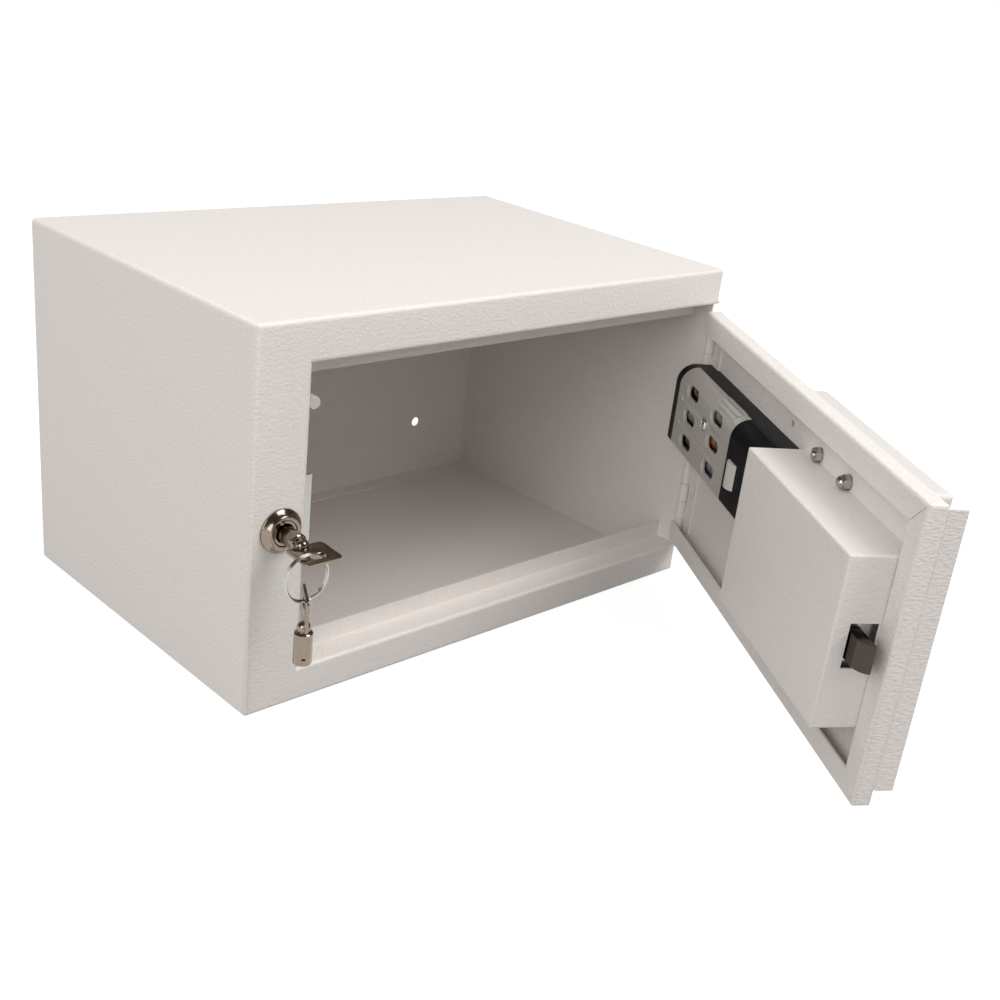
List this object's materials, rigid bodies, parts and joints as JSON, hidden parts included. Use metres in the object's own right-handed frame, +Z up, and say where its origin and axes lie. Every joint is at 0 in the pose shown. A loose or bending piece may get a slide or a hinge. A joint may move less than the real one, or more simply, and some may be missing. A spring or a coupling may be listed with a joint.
{
  "type": "lockable medicine cabinet",
  "caption": "Small lockable steel medicine cabinet: folded box, hinged flanged door with latch, battery pack and keypad, cam lock with keys on a ring.",
  "frame": {"origin": "middle of the cabinet's flat bottom, under the middle of the box without its open door", "axes": "+Z up, -Y out of the door opening, +Y into the wall, +X towards the hinge side"},
  "size_m": [0.3394, 0.4721, 0.203],
  "materials": {
    "powder_coat": "white powder coat with a fine wrinkle, satin",
    "zinc_steel": "bright zinc plate over turned and pressed steel",
    "dark_bolt": "dark nickel over a cast latch bolt",
    "nickel": "polished nickel plate, lightly brushed",
    "spring_steel": "drawn spring wire",
    "stop_rubber": "soft, matt",
    "black_plastic": "fine spark texture, satin black",
    "grey_plastic": "silver-grey paint over fine spark texture, satin",
    "pale_plastic": "moulded, satin",
    "housing_plastic": "moulded, fine spark texture, satin",
    "key_plastic": "moulded, satin",
    "board": "green solder mask",
    "lens": "clear tinted, polished",
    "cable": "soft sleeve, satin",
    "cell_red": "shrink sleeve, glossy",
    "cell_grey": "shrink sleeve, glossy",
    "cell_dark": "shrink sleeve, glossy",
    "cell_orange": "shrink sleeve, glossy"
  },
  "bodies": {
    "cabinet": {"body_shell": "powder_coat", "door_frame": "powder_coat", "back_panel": "powder_coat", "hinge_leaf_fixed": "powder_coat", "hinge_pin": "zinc_steel", "strike_plate": "zinc_steel", "strike_screws": "zinc_steel", "stop_bumpers": "stop_rubber", "lock_body": "nickel", "lock_nut": "zinc_steel"},
    "lock_core": {"lock_plug": "nickel", "lock_cam": "zinc_steel", "cam_screw": "zinc_steel", "lock_key": "nickel"},
    "ring": {"key_ring": "nickel"},
    "spare": {"spare_key": "nickel"},
    "door": {"door_pan": "powder_coat", "pull_strip": "powder_coat", "hinge_leaf_door": "powder_coat", "lock_cover": "powder_coat", "cover_screws": "zinc_steel", "latch_case": "zinc_steel", "latch_spring": "spring_steel", "lock_motor": "zinc_steel", "keypad_housing": "housing_plastic", "status_lens": "lens", "circuit_board": "board", "board_spacers": "zinc_steel", "door_studs": "zinc_steel", "stud_washers": "zinc_steel", "hex_nuts": "zinc_steel", "cap_nut": "nickel", "battery_base": "black_plastic", "battery_cover": "grey_plastic", "pack_screw": "zinc_steel", "cell_contacts": "zinc_steel", "cell_1": "cell_red", "cell_2": "cell_grey", "cell_3": "cell_dark", "cell_4": "cell_grey", "cell_5": "cell_orange", "cell_6": "cell_grey", "power_cable": "cable"},
    "bolt": {"latch_bolt": "dark_bolt"},
    "knob_set": {"knob_spindle": "zinc_steel", "knob": "black_plastic"},
    "clip": {"release_clip": "pale_plastic"},
    "pad_key_1": {"key_1": "key_plastic"},
    "pad_key_2": {"key_2": "key_plastic"},
    "pad_key_3": {"key_3": "key_plastic"},
    "pad_key_4": {"key_4": "key_plastic"},
    "pad_key_5": {"key_5": "key_plastic"},
    "pad_key_6": {"key_6": "key_plastic"},
    "pad_key_7": {"key_7": "key_plastic"},
    "pad_key_8": {"key_8": "key_plastic"},
    "pad_key_9": {"key_9": "key_plastic"},
    "pad_key_10": {"key_10": "key_plastic"},
    "pad_key_11": {"key_11": "key_plastic"},
    "pad_key_12": {"key_12": "key_plastic"}
  },
  "joints": [
    {"name": "door_swing", "type": "hinge", "parent": "cabinet", "child": "door", "pos_m": [0.1658, -0.1075, 0.1], "axis": [0, 0, 1], "range_deg": [-57.1, 52.9]},
    {"name": "key_turn", "type": "hinge", "parent": "cabinet", "child": "lock_core", "pos_m": [-0.1505, -0.1075, 0.1], "axis": [0, -1, 0], "range_deg": [0, 90]},
    {"name": "ring_swing", "type": "hinge", "parent": "lock_core", "child": "ring", "pos_m": [-0.1565, -0.13826, 0.0992], "axis": [1, 0, 0], "range_deg": [-15, 15]},
    {"name": "spare_swing", "type": "hinge", "parent": "ring", "child": "spare", "pos_m": [-0.1565, -0.13826, 0.078], "axis": [1, 0, 0], "range_deg": [-15, 15]},
    {"name": "knob_turn", "type": "hinge", "parent": "door", "child": "knob_set", "pos_m": [0.0318, -0.31463, 0.102], "axis": [-0.8396, 0.5432, 0], "range_deg": [0, 84]},
    {"name": "latch_slide", "type": "slide", "parent": "door", "child": "bolt", "axis": [0.5432, 0.8396, 0], "range_m": [0, 0.012], "stiffness_N_per_m": 200, "deforming": ["latch_spring"]},
    {"name": "clip_slide", "type": "slide", "parent": "door", "child": "clip", "axis": [-0.5432, -0.8396, 0], "range_m": [0, 0.002], "stiffness_N_per_m": 600},
    {"name": "key_1_press", "type": "slide", "parent": "door", "child": "pad_key_1", "axis": [-0.8396, 0.5432, 0], "range_m": [0, 0.0012], "stiffness_N_per_m": 800},
    {"name": "key_2_press", "type": "slide", "parent": "door", "child": "pad_key_2", "axis": [-0.8396, 0.5432, 0], "range_m": [0, 0.0012], "stiffness_N_per_m": 800},
    {"name": "key_3_press", "type": "slide", "parent": "door", "child": "pad_key_3", "axis": [-0.8396, 0.5432, 0], "range_m": [0, 0.0012], "stiffness_N_per_m": 800},
    {"name": "key_4_press", "type": "slide", "parent": "door", "child": "pad_key_4", "axis": [-0.8396, 0.5432, 0], "range_m": [0, 0.0012], "stiffness_N_per_m": 800},
    {"name": "key_5_press", "type": "slide", "parent": "door", "child": "pad_key_5", "axis": [-0.8396, 0.5432, 0], "range_m": [0, 0.0012], "stiffness_N_per_m": 800},
    {"name": "key_6_press", "type": "slide", "parent": "door", "child": "pad_key_6", "axis": [-0.8396, 0.5432, 0], "range_m": [0, 0.0012], "stiffness_N_per_m": 800},
    {"name": "key_7_press", "type": "slide", "parent": "door", "child": "pad_key_7", "axis": [-0.8396, 0.5432, 0], "range_m": [0, 0.0012], "stiffness_N_per_m": 800},
    {"name": "key_8_press", "type": "slide", "parent": "door", "child": "pad_key_8", "axis": [-0.8396, 0.5432, 0], "range_m": [0, 0.0012], "stiffness_N_per_m": 800},
    {"name": "key_9_press", "type": "slide", "parent": "door", "child": "pad_key_9", "axis": [-0.8396, 0.5432, 0], "range_m": [0, 0.0012], "stiffness_N_per_m": 800},
    {"name": "key_10_press", "type": "slide", "parent": "door", "child": "pad_key_10", "axis": [-0.8396, 0.5432, 0], "range_m": [0, 0.0012], "stiffness_N_per_m": 800},
    {"name": "key_11_press", "type": "slide", "parent": "door", "child": "pad_key_11", "axis": [-0.8396, 0.5432, 0], "range_m": [0, 0.0012], "stiffness_N_per_m": 800},
    {"name": "key_12_press", "type": "slide", "parent": "door", "child": "pad_key_12", "axis": [-0.8396, 0.5432, 0], "range_m": [0, 0.0012], "stiffness_N_per_m": 800}
  ],
  "couplings": [
    {"joint": "knob_turn", "follows": "latch_slide", "rad_per_m": 122.17}
  ]
}
